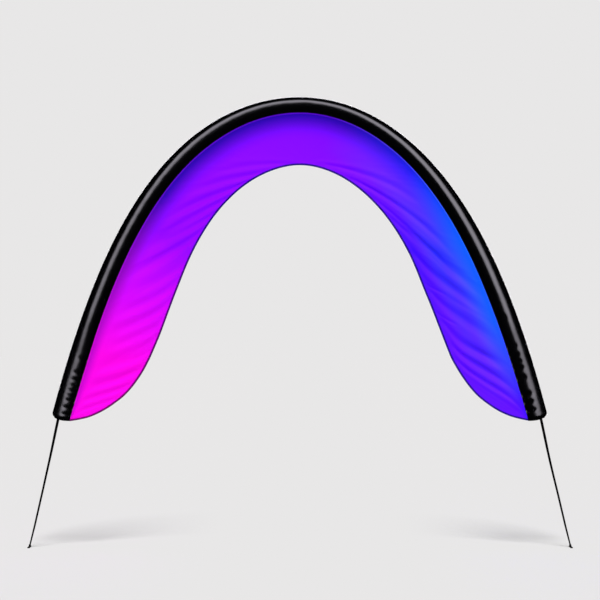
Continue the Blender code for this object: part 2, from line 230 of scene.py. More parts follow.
# The pole: how far its axis is from the arch line, and its diameter
Pole = namedtuple("Pole", "station reach diameter")
POLE = (
    Pole(-3.12, 0.0490, 0.0100),
    Pole(-2.87, 0.0496, 0.0110),
    Pole(-2.66, 0.0470, 0.0125),
    Pole(-2.42, 0.0375, 0.0150),
    Pole(-2.10, 0.0200, 0.0125),
    Pole(-1.80, 0.0105, 0.0125),
    Pole(-1.50, 0.0078, 0.0125),
    Pole(1.50, 0.0078, 0.0125),
    Pole(1.80, 0.0105, 0.0125),
    Pole(2.10, 0.0210, 0.0125),
    Pole(2.42, 0.0390, 0.0150),
    Pole(2.66, 0.0455, 0.0125),
    Pole(2.87, 0.0414, 0.0110),
    Pole(3.12, 0.0340, 0.0100),
)
TIP_DIAMETER = 8 * MM
POLE_LAST = 3.02
POLE_STEP = 20 * MM
POLE_SIDES = 16

# The feet
FOOT_X = 1.504
FOOT_WIDTH = 12 * MM
FOOT_LENGTH = 90 * MM
FOOT_BASE = 5 * MM
FOOT_HEIGHT = 16 * MM
SOCKET_FLOOR = 3.5 * MM
FOOT_FIT = 0.3 * MM
FOOT_SIDES = 32
FOOT_ROUNDING = 0.6 * MM
FOOT_ROUNDING_STEPS = 3
FOOT_CORNER_DEG = 40

# The camera faces the arch. At SENSOR / SEEN_WIDTH of its distance, the view is SEEN_WIDTH wide
# in the arch's plane.
CAMERA_X = -0.0006
CAMERA_HEIGHT = 1.374
CAMERA_DISTANCE = 12.0
SEEN_WIDTH = 600 / 180
SENSOR_MM = 36

# Random fields repeat after this many knots
WANDER_KNOTS = 512

# Small puckers: on the sleeve, full from PUCKER_FROM of its width on and PUCKER_WIDTH of it wide,
# and beside the printed cloth's seam and hem
SLEEVE_PUCKER = 45 * MM
SLEEVE_PUCKER_DEPTH = 0.3 * MM
SLEEVE_PUCKER_SEED = 3
PUCKER_FROM = 0.3
PUCKER_WIDTH = 0.5
SEAM_PUCKER = 34 * MM
SEAM_PUCKER_SEED = 7
HEM_PUCKER = 42 * MM
HEM_PUCKER_SEED = 8
PUCKER_DEPTH = 0.5 * MM
PUCKER_REACH = 16 * MM

# Fine creases between the drag folds: CROWN_CREASE of their depth at the crown, all of it from
# FULL_CREASE along the arch on
CREASE_SWEEP = 0.55
CREASE_WIDTH = 26 * MM
CREASE_LENGTH = 0.2
CREASE_DEPTH = 0.6 * MM
CREASE_SEED = 5
CROWN_CREASE = 0.25
FULL_CREASE = 1.4

# Rows of stitches: how far each is from its edge, and the size of a stitch. The real thread is
# 0.5 mm thick, too fine to show, so it is made THREAD thick.
STRIP_STITCH = 7.5 * MM
HEM_STITCH = 6 * MM
HEM_AT_STITCH = 0.9
SLEEVE_STITCH = 4 * MM
STITCH_PITCH = 6 * MM
STITCH_LENGTH = 4.6 * MM
THREAD = 0.9 * MM
STITCH_UNEVENNESS = 0.15
STITCH_SEED = 4
STITCH_SIDES = 6
STITCH_RINGS = 4
STITCH_STEP = 4 * MM
STITCH_SKIP = 4

# The print's inks, with painted shade among them, and where along the arch each is full: next to
# the seam, on the strip beside it, over the body, towards the hem, and in the hem's line. Between
# two places one ink runs into the next.
MAGENTA = "#D800C8"
PLUM = "#B000B4"
PURPLE = "#8000F0"
VIOLET = "#6C00F0"
BLUE_VIOLET = "#5008F0"
ULTRAMARINE = "#3808F0"
BLUE = "#2828F0"
AZURE = "#0050F0"
SKY_BLUE = "#0070F0"
ROYAL_BLUE = "#0818D0"
INDIGO_SHADE = "#1C0098"
DARK_PLUM = "#580050"
NAVY = "#080070"
Print = namedtuple("Print", "station ink")
# next to the seam, the plum on the left leg and the indigo from there over the crown are painted
# shade under the sleeve; the blues on the right leg are print
SEAM_INKS_AND_SHADE = (
    Print(-2.2, PLUM),
    Print(-1.0, INDIGO_SHADE),
    Print(0.3, INDIGO_SHADE),
    Print(0.8, ROYAL_BLUE),
    Print(1.3, AZURE),
    Print(1.8, AZURE),
    Print(2.3, ULTRAMARINE),
)
STRIP_PRINT = (
    Print(-2.0, MAGENTA),
    Print(-1.2, PURPLE),
    Print(0.2, VIOLET),
    Print(1.3, SKY_BLUE),
    Print(2.3, ULTRAMARINE),
)
BODY_PRINT = (
    Print(-2.0, MAGENTA),
    Print(-1.2, PURPLE),
    Print(0.2, VIOLET),
    Print(1.3, BLUE),
    Print(2.3, BLUE_VIOLET),
)
HEM_PRINT = (
    Print(-2.0, MAGENTA),
    Print(-1.2, PURPLE),
    Print(0.3, VIOLET),
    Print(1.2, ULTRAMARINE),
    Print(1.9, BLUE_VIOLET),
)
# the hem's line is painted shade: a dark edge along the rolled hem
HEM_LINE_SHADE = (
    Print(-2.2, DARK_PLUM),
    Print(-1.0, NAVY),
)

# The seam's inks, partly painted shade, fade out over a share of the cloth: SEAM_FADE_LEG of it up
# to SEAM_FADE_LEG_TO on the left leg, and SEAM_FADE of it from SEAM_FADE_FROM on. The hem's come
# in between two more shares. The strip's make up STRIP_INK_SHARE of its colour as far as
# STRIP_INK_TO from the seam.
# The hem's line, painted shade along the rolled hem's edge, runs out over HEM_LINE_FADE beside the
# hem.
SEAM_FADE_LEG = 0.2
SEAM_FADE_LEG_TO = -1.9
SEAM_FADE = 0.5
SEAM_FADE_FROM = -0.6
HEM_INK_FROM = 0.55
HEM_INK_FULL = 0.85
STRIP_INK_SHARE = 0.4
STRIP_INK_TO = 3 * MM
HEM_LINE_FADE = 6 * MM

# Texture sizes. A wave texture repeats every WAVE_PERIOD / scale.
WAVE_PERIOD = pi / 10
KNIT_PITCH = 1.6 * MM
TWILL_PITCH = 1.4 * MM
CRUMPLE = 22 * MM
FIBRE_GRAIN = 3 * MM
RUBBER_GRAIN = 0.8 * MM
THREAD_TWIST = 0.6 * MM

# The studio. The key lamp lights everything and throws the soft shadows on the floor, the fill
# lamps light the pieces only, and the sheen lamps are only seen mirrored: in the satin, or in the
# cloth. A lamp turned by 0 degrees shines from the front, and by 180 from behind.
Lamp = namedtuple("Lamp", "name role strength elevation_deg turn_deg size_deg")
LAMPS = (
    Lamp("top front softbox", "key", 4.4, 61, 0, 25),
    Lamp("front softbox", "fill", 1.1, 18, 0, 35),
    Lamp("back softbox", "fill", 1.1, 18, 180, 35),
    Lamp("front satin softbox", "satin sheen", 2.7, 11, 5, 40),
    Lamp("front satin core", "satin sheen", 0.8, 11, 5, 26),
    Lamp("back satin softbox", "satin sheen", 3.1, 11, 180, 34),
    Lamp("front cloth softbox", "cloth sheen", 20, 36, 28, 50),
    Lamp("back cloth softbox", "cloth sheen", 20, 36, 152, 50),
)
LAMP_COLOURS = {"satin sheen": (0.98, 0.93, 1.05), "cloth sheen": (1, 0.2, 1.1)}
WHITE = (1, 1, 1)
AMBIENT_COLOUR = (0.1, 0.1, 0.1, 1)

# the floor's glow is painted light: between the legs the floor glows though it is no lamp, which
# washes their shadow out
# The backdrop and the floor's glow are PALE, and the floor as the key lamp lights it looks the
# same. The glow is full up to GLOW_FULL to both sides of GLOW_X and ends at GLOW_STOP.
PALE = "#E8E7E7"
FLOOR_COLOUR = "#CDCCCC"
FLOOR_HALF = 40.0
GLOW_X = 0.08
GLOW_FULL = 0.48
GLOW_STOP = 1.23


# --- The shape of the cloth -----------------------------------------------------------------------


def smooth_step(share):
    share = np.clip(share, 0, 1)
    return share * share * (3 - 2 * share)


def slope(station):
    """How far below level the arch line runs at each station, in radians."""
    left = np.asarray(station) < 0
    steepest, length, sharpness = (np.where(left, *pair) for pair in zip(LEFT_BEND, RIGHT_BEND))
    share = np.abs(station) / length
    return np.radians(steepest) * share / (1 + share**sharpness) ** (1 / sharpness)


def arch_line():
    """Stations along the arch line, and its x and z at each."""
    half = round(LINE_LENGTH / LINE_STEP)
    stations = np.arange(-half, half + 1) * LINE_STEP
    middles = (stations[1:] + stations[:-1]) / 2
    steps = np.cos(slope(middles)), -np.sign(middles) * np.sin(slope(middles))
    x, z = (np.concatenate([[0], np.cumsum(step * LINE_STEP)]) for step in steps)
    return stations, CROWN_X + x - x[half], CROWN_HEIGHT + z - z[half]


LINE = arch_line()


def place(station, reach, y):
    """The points at stations and reaches, y behind the plane of the arch."""
    stations, line_x, line_z = LINE
    angle = slope(station)
    x = np.interp(station, stations, line_x) - np.sign(station) * np.sin(angle) * reach
    z = np.interp(station, stations, line_z) - np.cos(angle) * reach
    return np.stack(np.broadcast_arrays(x, y, z), axis=-1)


def between(table, column, station):
    """A table's column at each station: a smooth line through its rows that never overshoots."""
    at = np.array([row.station for row in table])
    value = np.array([getattr(row, column) for row in table])
    gap = np.diff(at)
    rise = np.diff(value) / gap
    product = rise[:-1] * rise[1:]
    total = np.where(product > 0, rise[:-1] + rise[1:], 1)
    slopes = np.concatenate([rise[:1], np.where(product > 0, 2 * product / total, 0), rise[-1:]])
    i = np.clip(np.searchsorted(at, station) - 1, 0, len(gap) - 1)
    t = (station - at[i]) / gap[i]
    start = value[i] * (1 + 2 * t) * (1 - t) ** 2 + slopes[i] * gap[i] * t * (1 - t) ** 2
    stop = value[i + 1] * (3 - 2 * t) * t**2 + slopes[i + 1] * gap[i] * (t - 1) * t**2
    return start + stop


def wander(along, across, seed):
    """A smooth random field from -1 to 1 that changes over a distance of 1 both ways."""
    knots = np.random.default_rng(seed).uniform(-1, 1, (WANDER_KNOTS, WANDER_KNOTS))
    along, across = np.broadcast_arrays(along, across)
    i, j = np.floor(along).astype(int), np.floor(across).astype(int)
    s, t = smooth_step(along - i), smooth_step(across - j)
    rows = [
        knots[(i + a) % WANDER_KNOTS, j % WANDER_KNOTS] * (1 - t)
        + knots[(i + a) % WANDER_KNOTS, (j + 1) % WANDER_KNOTS] * t
        for a in (0, 1)
    ]
    return rows[0] * (1 - s) + rows[1] * s


def finer_at_ends(step, end_step):
    """Stations over the sleeve's length: step apart, and end_step apart over END_LENGTH."""
    fine = np.linspace(SLEEVE_START, SLEEVE_STOP, round((SLEEVE_STOP - SLEEVE_START) / MM))
    to_end = np.minimum(fine - SLEEVE_START, SLEEVE_STOP - fine)
    spacing = end_step + (step - end_step) * smooth_step(to_end / END_LENGTH - 0.5)
    count = np.cumsum(MM / spacing)
    return np.interp(np.linspace(count[0], count[-1], round(count[-1])), count, fine)


# --- Meshes ---------------------------------------------------------------------------------------


def show(mesh, material):
    """A new object at the origin for a finished mesh, with its faces pointing outwards."""
    shape = bmesh.new()
    shape.from_mesh(mesh)
    bmesh.ops.recalc_face_normals(shape, faces=shape.faces)
    shape.to_mesh(mesh)
    shape.free()
    mesh.shade_smooth()
    mesh.materials.clear()
    mesh.materials.append(material)
    thing = bpy.data.objects.new(mesh.name, mesh)
    bpy.context.scene.collection.objects.link(thing)
    return thing


def normals_of(points):
    """The unit normal of a grid of points at each of them."""
    along, across = np.gradient(points, axis=0), np.gradient(points, axis=1)
    normal = np.cross(along, across)
    return normal / np.linalg.norm(normal, axis=-1, keepdims=True)


def shell(name, points, wall, material, values, front):
    """A closed cloth shell: a grid of points, thickened by wall, with the share front of it ahead.

    values holds the grids that its material reads, an attribute for each name, and the station and
    reach are its UV map too.
    """
    rows, columns = points.shape[:2]
    normal = normals_of(points)
    wall = np.broadcast_to(wall, (rows, columns))[..., None]
    skins = points + normal * wall * front, points - normal * wall * (1 - front)
    spots = np.concatenate([skin.reshape(-1, 3) for skin in skins])
    at = np.arange(rows * columns).reshape(rows, columns)
    quads = np.stack([at[:-1, :-1], at[1:, :-1], at[1:, 1:], at[:-1, 1:]], axis=-1).reshape(-1, 4)
    round_edge = np.concatenate([at[:, 0], at[-1, 1:], at[-2::-1, -1], at[0, -2::-1]])
    here, after = round_edge[:-1], round_edge[1:]
    count = rows * columns
    rim = np.stack([after, here, here + count, after + count], axis=-1)
    faces = np.concatenate([quads, quads[:, ::-1] + count, rim])
    mesh = bpy.data.meshes.new(name)
    mesh.from_pydata(spots.tolist(), [], faces.tolist())
    for label, grid in values.items():
        both = np.tile(np.broadcast_to(grid, (rows, columns)).ravel(), 2)
        mesh.attributes.new(label, "FLOAT", "POINT").data.foreach_set("value", both.astype("f"))
    corners = np.empty(len(mesh.loops), dtype=int)
    mesh.loops.foreach_get("vertex_index", corners)
    flat = np.stack([np.tile(values[label].ravel(), 2) for label in ("station", "reach")], axis=-1)
    mesh.uv_layers.new(name="cloth").data.foreach_set("uv", flat[corners].ravel().astype("f"))
    return show(mesh, material)


def rod(name, points, widths, material):
    """A round rod through points in the arch's plane, closed by flat tips."""
    along = np.gradient(points, axis=0)
    along /= np.linalg.norm(along, axis=1, keepdims=True)
    across = np.stack([along[:, 2], np.zeros(len(along)), -along[:, 0]], axis=1)
    turn = np.arange(POLE_SIDES) / POLE_SIDES * 2 * pi
    ring = np.cos(turn)[:, None] * across[:, None] + np.sin(turn)[:, None] * [0, 1, 0]
    spots = points[:, None] + ring * widths[:, None, None] / 2
    mesh = bpy.data.meshes.new(name)
    at = np.arange(len(points) * POLE_SIDES).reshape(len(points), POLE_SIDES)
    beside = np.roll(at, -1, axis=1)
    faces = np.stack([at[:-1], beside[:-1], beside[1:], at[1:]], axis=-1).reshape(-1, 4).tolist()
    mesh.from_pydata(spots.reshape(-1, 3).tolist(), [], faces + [at[0].tolist(), at[-1].tolist()])
    return show(mesh, material)


# --- The sleeve -----------------------------------------------------------------------------------


def opened_at(station):
    """0 where the sleeve's end is sewn shut round the pole, 1 where it is fully open."""
    left = np.minimum(station - SLEEVE_START, SLEEVE_STOP - station)
    share = np.clip((left - CUFF) / CLOSING, 0, 1)
    return np.sqrt(1 - (1 - share) ** 2)


def gathered_by(station):
    """How deep the gathers draw the sleeve in at each station."""
    depth = np.zeros_like(station)
    for gather in GATHERS:
        off = (station - gather.station) / (gather.length * MM)
        depth += gather.depth * MM * np.exp(-off * off)
    return depth


def sleeve_section(station):
    """The front half of the sleeve's outside at each station: its reaches and depths."""
    station = station[:, None]
    opened = opened_at(station)
    width = between(SLEEVE, "width", station)
    pole_reach = between(POLE, "reach", station)
    snug = between(POLE, "diameter", station) / 2 + SEAM_GAP + SLEEVE_CLOTH
    edge = END_CORNER * (1 - opened) + SLEEVE_EDGE * opened
    middle = pole_reach + (between(SLEEVE, "tube_width", station) / 2 - pole_reach) * opened
    deepest = snug + (between(SLEEVE, "tube_depth", station) / 2 - snug) * opened
    risen = WEB_DEPTH + SEAM_RISE * opened
    sharpness = between(SLEEVE, "fall", station)
    angle = np.linspace(0, pi / 2, ROUND_STEPS + 1)
    fall = np.linspace(0, 1, FALL_STEPS + 1)[1:]
    flat = np.linspace(0, 1, WEB_STEPS + 1)[1:]
    reach = np.hstack([
        middle - (middle - edge) * np.cos(angle),
        middle + (width - SEAM_FLAT - middle) * fall,
        width - SEAM_FLAT * (1 - flat),
    ])
    depth = np.hstack([
        deepest * np.sin(angle),
        risen + (deepest - risen) * (1 - fall**sharpness),
        WEB_DEPTH + (1 - flat) * SEAM_RISE * opened,
    ])
    inside = smooth_step((reach - middle * GATHER_FROM) / (width * GATHER_GROWTH))
    drawn = gathered_by(station) * inside * opened
    return reach, np.maximum(np.minimum(WEB_DEPTH, depth), depth - drawn)


def bowed(station, reach):
    """The stations moved out where the closed ends bow below a square cut."""
    side = np.sign(station)
    end = np.where(side < 0, SLEEVE_START, SLEEVE_STOP)
    near = smooth_step(1 - np.abs(end - station) / BOW_LENGTH)
    width = between(SLEEVE, "width", end)
    return station + side * END_BOW * near * np.sin(pi * np.clip(reach / width, 0, 1))


def make_sleeve(material):
    """One strip of black cloth folded over the pole, closed at both ends."""
    stations = finer_at_ends(SLEEVE_STEP, END_STEP)
    reach, depth = sleeve_section(stations)
    reach = np.hstack([reach[:, ::-1], reach[:, 1:]])
    depth = np.hstack([-depth[:, ::-1], depth[:, 1:]])
    station = bowed(stations[:, None], reach)
    opened = opened_at(stations)[:, None]
    width = between(SLEEVE, "width", stations)[:, None]
    off_seam = smooth_step((width - reach) / SEAM_FLAT)
    free = smooth_step(reach / (PUCKER_FROM * width)) * off_seam * opened
    pucker = wander(station / SLEEVE_PUCKER, reach / (PUCKER_WIDTH * width), SLEEVE_PUCKER_SEED)
    depth = depth + np.sign(depth) * pucker * SLEEVE_PUCKER_DEPTH * free
    points = place(station, reach, depth)
    values = {"station": station, "reach": reach}
    return shell("sleeve_cloth", points, SLEEVE_CLOTH, material, values, front=0)


# --- The printed cloth ----------------------------------------------------------------------------


def folds_at(station, share):
    """How far the drag folds push the cloth back: a trough between two crests for each."""
    back = np.zeros_like(station)
    for fold in FOLDS:
        run = (fold.from_share - share) / (fold.from_share - fold.to_share)
        length = fold.to_station - fold.from_station
        line = fold.from_station + length * np.maximum(run, 0) ** (1 / FOLD_DROOP)
        off = (station - line) / (fold.width * MM)
        strength = smooth_step(0.5 + run / FOLD_RISE) * smooth_step((1 - run) / FOLD_FADE)
        back += fold.depth * MM * strength * (1 - off * off) * np.exp(-off * off / 2)
    return back


def creases_at(station, share):
    """Finer creases that run the way of the drag folds, more of them down the legs."""
    drag = np.maximum(1 - share, 0) ** (1 / FOLD_DROOP) * CREASE_SWEEP
    across = (np.abs(station) - drag) / CREASE_WIDTH
    along = drag / CREASE_LENGTH
    on_leg = CROWN_CREASE + (1 - CROWN_CREASE) * smooth_step(np.abs(station) / FULL_CREASE)
    apart = np.where(station < 0, 0, WANDER_KNOTS / 2)
    return CREASE_DEPTH * on_leg * wander(across + apart, along, CREASE_SEED)


def panel_back(station, share, from_seam, to_edge):
    """How far behind the arch's plane the printed cloth lies."""
    to_tail = np.minimum(station - SLEEVE_START, SLEEVE_STOP - station)
    at_tail = smooth_step(to_tail / TAIL_LENGTH)
    belly = BELLY * np.sin(pi * np.clip(share, 0, 1) ** BELLY_SKEW) * at_tail
    back = folds_at(station, share) + creases_at(station, share) * at_tail + belly
    puckers = sum(
        wander(station / length, 0, seed) * np.exp(-off / PUCKER_REACH)
        for length, seed, off in (
            (SEAM_PUCKER, SEAM_PUCKER_SEED, from_seam),
            (HEM_PUCKER, HEM_PUCKER_SEED, to_edge),
        )
    )
    puckers *= PUCKER_DEPTH * smooth_step(to_tail / SEAM_STRIP)
    return (back + puckers) * smooth_step(share / SEAM_SHARE)


def panel_rows(station):
    """The reaches of the printed cloth at each station: tucked edge, seam strip, cloth, hem."""
    seam = between(SLEEVE, "width", station)[:, None]
    edge = between(CLOTH, "reach", station)[:, None]
    rise = np.gradient(edge[:, 0], station)[:, None]
    strip = np.minimum(SEAM_STRIP, (edge - seam) * STRIP_MOST)
    hem = np.minimum(HEM_WIDTH * np.sqrt(1 + rise**2), (edge - seam) * HEM_MOST)
    free = np.linspace(0, 1, PANEL_ROWS + 1)
    return np.hstack([
        seam - PANEL_TUCK * np.array([1, 0.5]),
        seam + strip * np.linspace(0, 1, STRIP_ROWS + 1)[:-1],
        seam + strip + (edge - hem - seam - strip) * free,
        edge - hem * (1 - np.linspace(0, 1, HEM_ROWS + 1)[1:]),
    ])


def panel_grid():
    """The printed cloth's grids: station, reach, share, distance to the seam and to the hem."""
    stations = finer_at_ends(PANEL_STEP, PANEL_END_STEP)
    reach = panel_rows(stations)
    station = np.broadcast_to(stations[:, None], reach.shape)
    seam = between(SLEEVE, "width", station)
    edge = between(CLOTH, "reach", station)
    rise = np.gradient(edge[:, 0], stations)[:, None]
    share = (reach - seam) / (edge - seam)
    return {
        "station": station,
        "reach": reach,
        "share": share,
        "from_seam": reach - seam,
        "to_edge": (edge - reach) / np.sqrt(1 + rise**2),
    }


def make_panel(material):
    """The printed cloth from its tucked edge to its rolled hem, with the strip sewn double."""
    grid = panel_grid()
    share, from_seam, to_edge = grid["share"], grid["from_seam"], grid["to_edge"]
    back = panel_back(grid["station"], share, np.maximum(from_seam, 0), to_edge)
    points = place(grid["station"], grid["reach"], back)
    rolled = np.clip(1 - to_edge / HEM_WIDTH, 0, 1)
    roll = np.sqrt(np.clip(1 - (2 * rolled - 1) ** 2, 0, 1))
    wall = np.where(to_edge < HEM_WIDTH, np.maximum(HEM_CLOTH * roll, PANEL_CLOTH), PANEL_CLOTH)
    doubled = smooth_step((SEAM_STRIP - from_seam) / MM) * (from_seam > 0)
    wall = wall + PANEL_CLOTH * STRIP_LAYERS * doubled
    return shell("printed_cloth", points, wall, material, grid, front=0.5)


# --- Pole and feet --------------------------------------------------------------------------------


def pole_points(station):
    return place(station, between(POLE, "reach", station), 0.0)


def pole_foot(side):
    """Where the pole's axis meets the floor on one side, and the direction up the pole there."""
    foot = np.array([side * FOOT_X, 0, 0])
    up = pole_points(side * POLE_LAST) - foot
    return foot, up / np.linalg.norm(up)


def up_the_pole(side, height):
    """The point of the pole's axis at a height above the floor, inside a foot."""
    foot, up = pole_foot(side)
    return foot + up * (height / up[2])


def make_pole(material):
    """The bent rod, tapered towards both tips, from the socket of one foot to the other."""
    stations = np.linspace(-POLE_LAST, POLE_LAST, round(2 * POLE_LAST / POLE_STEP) + 1)
    tips = [up_the_pole(side, SOCKET_FLOOR + FOOT_FIT) for side in (-1, 1)]
    points = np.vstack([tips[:1], pole_points(stations), tips[1:]])
    widths = between(POLE, "diameter", stations)
    widths = np.concatenate([[TIP_DIAMETER], widths, [TIP_DIAMETER]])
    return rod("bent_pole", points, widths, material)


def rod_along(side, radius, bottom, top):
    """A cylinder on the pole's axis between two heights above the floor."""
    start, stop = (Vector(up_the_pole(side, height)) for height in (bottom, top))
    bpy.ops.mesh.primitive_cylinder_add(
        vertices=FOOT_SIDES, radius=radius, depth=(stop - start).length, location=(start + stop) / 2
    )
    piece = bpy.context.object
    piece.rotation_mode = "QUATERNION"
    piece.rotation_quaternion = (stop - start).to_track_quat("Z", "Y")
    return piece


def plain_mesh(source, name):
    """The shape of an object with its modifiers as a mesh, and the object removed."""
    depsgraph = bpy.context.evaluated_depsgraph_get()
    mesh = bpy.data.meshes.new_from_object(source.evaluated_get(depsgraph))
    mesh.transform(source.matrix_world)
    bpy.data.meshes.remove(source.data)
    mesh.name = name
    return mesh


def make_foot(name, side, material):
    """A moulded bar that lies on the floor, with a round boss that grips the pole's tip."""
    bpy.ops.mesh.primitive_cube_add(size=1, location=(side * FOOT_X, 0, FOOT_BASE / 2))
    foot = bpy.context.object
    foot.scale = (FOOT_WIDTH, FOOT_LENGTH, FOOT_BASE)
    bpy.ops.object.transform_apply(location=False, rotation=False, scale=True)
    boss = rod_along(side, FOOT_WIDTH / 2, SOCKET_FLOOR / 2, FOOT_HEIGHT)
    bore = TIP_DIAMETER / 2 + FOOT_FIT
    socket = rod_along(side, bore, SOCKET_FLOOR, 2 * FOOT_HEIGHT)
    for how, other in (("UNION", boss), ("DIFFERENCE", socket)):
        joined = foot.modifiers.new(how.lower(), "BOOLEAN")
        joined.operation = how
        joined.object = other
    rounded = foot.modifiers.new("moulded edges", "BEVEL")
    rounded.width = FOOT_ROUNDING
    rounded.segments = FOOT_ROUNDING_STEPS
    rounded.limit_method = "ANGLE"
    rounded.angle_limit = radians(FOOT_CORNER_DEG)
    mesh = plain_mesh(foot, name)
    for cutter in (boss, socket):
        bpy.data.objects.remove(cutter, do_unlink=True)
    foot = show(mesh, material)
    mesh.shade_flat()
    return foot


# --- Nodes ----------------------------------------------------------------------------------------


def add_node(tree, kind, settings=None, inputs=None, stops=()):
    """Adds a node with its settings, its inputs' values or links, and its colour stops."""
    node = tree.nodes.new(kind)
    for key, value in (settings or {}).items():
        setattr(node, key, value)
    for key, value in (inputs or {}).items():
        if isinstance(value, bpy.types.NodeSocket):
            tree.links.new(value, node.inputs[key])
        else:
            node.inputs[key].default_value = value
    for i, (position, colour) in enumerate(stops):
        stop = node.color_ramp.elements[i] if i < 2 else node.color_ramp.elements.new(position)
        stop.position = position
        stop.color = colour
    return node


# --- Stitches -------------------------------------------------------------------------------------


def stitch_tree():
    """Geometry Nodes that sew a row of stitches along each line of a mesh of lines."""
    tree = bpy.data.node_groups.new("row of stitches", "GeometryNodeTree")
    tree.interface.new_socket("Lines", in_out="INPUT", socket_type="NodeSocketGeometry")
    for label in ("Pitch", "Length", "Thread", "Unevenness"):
        tree.interface.new_socket(label, in_out="INPUT", socket_type="NodeSocketFloat")
    tree.interface.new_socket("Seed", in_out="INPUT", socket_type="NodeSocketInt")
    tree.interface.new_socket("Finish", in_out="INPUT", socket_type="NodeSocketMaterial")
    tree.interface.new_socket("Stitches", in_out="OUTPUT", socket_type="NodeSocketGeometry")
    given = add_node(tree, "NodeGroupInput").outputs
    line = add_node(tree, "GeometryNodeMeshToCurve", inputs={"Mesh": given["Lines"]})
    even = add_node(
        tree,
        "GeometryNodeResampleCurve",
        {"mode": "LENGTH"},
        {"Curve": line.outputs["Curve"], "Length": given["Pitch"]},
    )
    tangent = add_node(tree, "GeometryNodeInputTangent")
    turned = add_node(
        tree,
        "FunctionNodeAlignRotationToVector",
        {"axis": "Z"},
        {"Vector": tangent.outputs["Tangent"]},
    )
    # a bead is 1 across, so that its scale is the stitch's size
    bead = add_node(
        tree,
        "GeometryNodeMeshUVSphere",
        inputs={"Segments": STITCH_SIDES, "Rings": STITCH_RINGS, "Radius": 0.5},
    )
    least = add_node(
        tree,
        "ShaderNodeMath",
        {"operation": "SUBTRACT"},
        {0: 1.0, 1: given["Unevenness"]},
    )
    uneven = add_node(
        tree,
        "FunctionNodeRandomValue",
        {"data_type": "FLOAT"},
        {"Min": least.outputs[0], "Max": 1.0, "Seed": given["Seed"]},
    )
    length = add_node(
        tree,
        "ShaderNodeMath",
        {"operation": "MULTIPLY"},
        {0: given["Length"], 1: uneven.outputs["Value"]},
    )
    size = add_node(
        tree,
        "ShaderNodeCombineXYZ",
        inputs={"X": given["Thread"], "Y": given["Thread"], "Z": length.outputs[0]},
    )
    sewn = add_node(
        tree,
        "GeometryNodeInstanceOnPoints",
        inputs={
            "Points": even.outputs["Curve"],
            "Instance": bead.outputs["Mesh"],
            "Rotation": turned.outputs["Rotation"],
            "Scale": size.outputs["Vector"],
        },
    )
    solid = add_node(
        tree, "GeometryNodeRealizeInstances", inputs={"Geometry": sewn.outputs["Instances"]}
    )
    dyed = add_node(
        tree,
        "GeometryNodeSetMaterial",
        inputs={"Geometry": solid.outputs["Geometry"], "Material": given["Finish"]},
    )
    add_node(tree, "NodeGroupOutput", inputs={"Stitches": dyed.outputs["Geometry"]})
    return tree


def sew(name, tree, lines, material):
    """The stitches along some lines of points, as one plain mesh."""
    spots = np.concatenate(lines)
    ends = np.cumsum([len(line) for line in lines])
    edges = [(i, i + 1) for i in range(len(spots) - 1) if i + 1 not in ends]
    paths = bpy.data.meshes.new(name)
    paths.from_pydata(spots.tolist(), edges, [])
    source = bpy.data.objects.new(name, paths)
    bpy.context.scene.collection.objects.link(source)
    modifier = source.modifiers.new("row of stitches", "NODES")
    modifier.node_group = tree
    wanted = {
        "Pitch": STITCH_PITCH,
        "Length": STITCH_LENGTH,
        "Thread": THREAD,
        "Unevenness": STITCH_UNEVENNESS,
        "Seed": STITCH_SEED,
        "Finish": material,
    }
    for socket in tree.interface.items_tree:
        if socket.name in wanted:
            modifier[socket.identifier] = wanted[socket.name]
    return show(plain_mesh(source, name), material)


def panel_line(from_seam=None, to_edge=None, side=-1):
    """A line of points on one face of the printed cloth, at a distance from its seam or its hem."""
    stations = finer_at_ends(STITCH_STEP, STITCH_STEP)[STITCH_SKIP:-STITCH_SKIP]
    seam = between(SLEEVE, "width", stations)
    edge = between(CLOTH, "reach", stations)
    rise = np.gradient(edge, stations)
    reach = seam + from_seam if to_edge is None else edge - to_edge * np.sqrt(1 + rise**2)
    wide = edge - seam > 2 * HEM_WIDTH
    stations, reach, seam, edge, rise = (x[wide] for x in (stations, reach, seam, edge, rise))
    share = (reach - seam) / (edge - seam)
    to_hem = (edge - reach) / np.sqrt(1 + rise**2)
    back = panel_back(stations, share, reach - seam, to_hem)
    wall = PANEL_CLOTH * (1 + STRIP_LAYERS) if to_edge is None else HEM_CLOTH * HEM_AT_STITCH
    return place(stations, reach, back + side * wall / 2)


def sleeve_line(from_seam, side):
    """A line of points on one face of the sleeve's web, at a distance from its edge."""
    stations = finer_at_ends(STITCH_STEP, STITCH_STEP)[STITCH_SKIP:-STITCH_SKIP]
    reach = between(SLEEVE, "width", stations) - from_seam
    rise = SEAM_RISE * opened_at(stations) * from_seam / SEAM_FLAT
    return place(bowed(stations, reach), reach, side * (WEB_DEPTH + rise))


def make_stitches(panel_thread, sleeve_thread):
    """The rows of stitches: along the seam strip, the hem and the sleeve's edge, on both faces."""
    tree = stitch_tree()
    faces = -1, 1
    on_panel = [panel_line(from_seam=STRIP_STITCH, side=side) for side in faces]
    on_panel += [panel_line(to_edge=HEM_STITCH, side=side) for side in faces]
    on_sleeve = [sleeve_line(SLEEVE_STITCH, side) for side in faces]
    return (
        sew("panel_stitches", tree, on_panel, panel_thread),
        sew("sleeve_stitches", tree, on_sleeve, sleeve_thread),
    )


# --- Finishes -------------------------------------------------------------------------------------


def linear(colour):
    """An sRGB hex colour as linear red, green, blue and alpha."""
    parts = [int(colour[i : i + 2], 16) / 255 for i in (1, 3, 5)]
    return (*(x / 12.92 if x <= 0.04045 else ((x + 0.055) / 1.055) ** 2.4 for x in parts), 1)


def ink_stops(inks):
    """A ramp's stops for a row of inks, from 0 at the sleeve's left end to 1 at its right."""
    length = SLEEVE_STOP - SLEEVE_START
    return [((at.station - SLEEVE_START) / length, linear(at.ink)) for at in inks]


